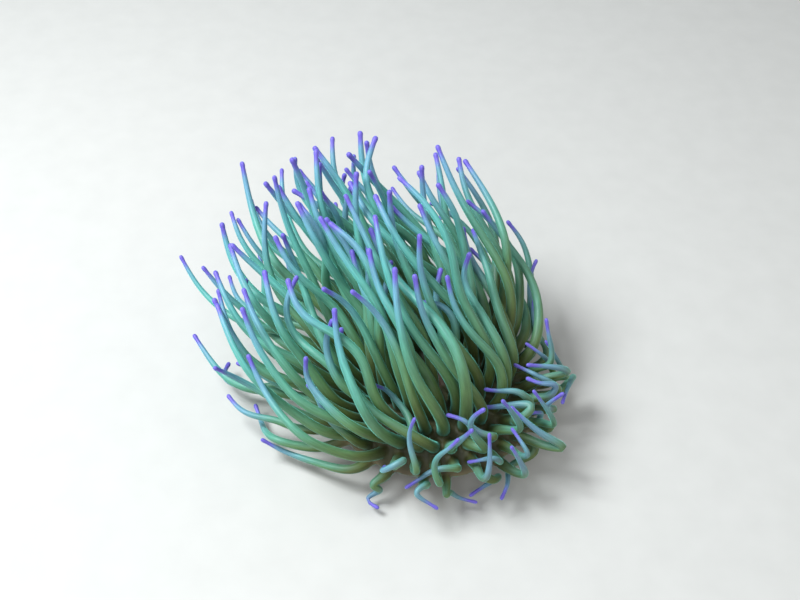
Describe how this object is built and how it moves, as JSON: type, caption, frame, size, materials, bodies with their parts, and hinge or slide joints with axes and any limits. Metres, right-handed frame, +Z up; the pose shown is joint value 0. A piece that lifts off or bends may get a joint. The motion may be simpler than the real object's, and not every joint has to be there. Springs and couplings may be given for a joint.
{
  "type": "sea anemone",
  "caption": "Snakelocks sea anemone at rest, its long tentacles swept to one side over a low column and a flat pedal disc.",
  "frame": {"origin": "middle of the pedal disc's underside, on the floor", "axes": "+Z up; +X to the right and +Y away from the viewer of the reference picture; the crown leans toward -X and +Y"},
  "size_m": [0.2056, 0.2031, 0.1284],
  "materials": {
    "column_flesh": "wet satin flesh, olive brown with fine upright lines",
    "disc_flesh": "wet satin flesh, olive with pale rays",
    "lip_flesh": "wet satin flesh, ribbed",
    "tentacle_flesh": "wet soft flesh, olive green at the root, sea green along the shaft, violet at the tip"
  },
  "bodies": {
    "root": {"pedal_disc": "column_flesh", "column": "column_flesh", "oral_disc": "disc_flesh", "mouth": "lip_flesh", "tentacles_inner_01": "tentacle_flesh", "tentacles_inner_02": "tentacle_flesh", "tentacles_inner_03": "tentacle_flesh", "tentacles_inner_04": "tentacle_flesh", "tentacles_inner_05": "tentacle_flesh", "tentacles_inner_06": "tentacle_flesh", "tentacles_inner_07": "tentacle_flesh", "tentacles_inner_08": "tentacle_flesh", "tentacles_inner_09": "tentacle_flesh", "tentacles_inner_10": "tentacle_flesh", "tentacles_inner_11": "tentacle_flesh", "tentacles_inner_12": "tentacle_flesh", "tentacles_middle_01": "tentacle_flesh", "tentacles_middle_02": "tentacle_flesh", "tentacles_middle_03": "tentacle_flesh", "tentacles_middle_04": "tentacle_flesh", "tentacles_middle_05": "tentacle_flesh", "tentacles_middle_06": "tentacle_flesh", "tentacles_middle_07": "tentacle_flesh", "tentacles_middle_08": "tentacle_flesh", "tentacles_middle_09": "tentacle_flesh", "tentacles_middle_10": "tentacle_flesh", "tentacles_middle_11": "tentacle_flesh", "tentacles_middle_12": "tentacle_flesh", "tentacles_outer_01": "tentacle_flesh", "tentacles_outer_02": "tentacle_flesh", "tentacles_outer_03": "tentacle_flesh", "tentacles_outer_04": "tentacle_flesh", "tentacles_outer_05": "tentacle_flesh", "tentacles_outer_06": "tentacle_flesh", "tentacles_outer_07": "tentacle_flesh", "tentacles_outer_08": "tentacle_flesh", "tentacles_outer_09": "tentacle_flesh", "tentacles_outer_10": "tentacle_flesh", "tentacles_outer_11": "tentacle_flesh", "tentacles_outer_12": "tentacle_flesh"}
  },
  "joints": []
}
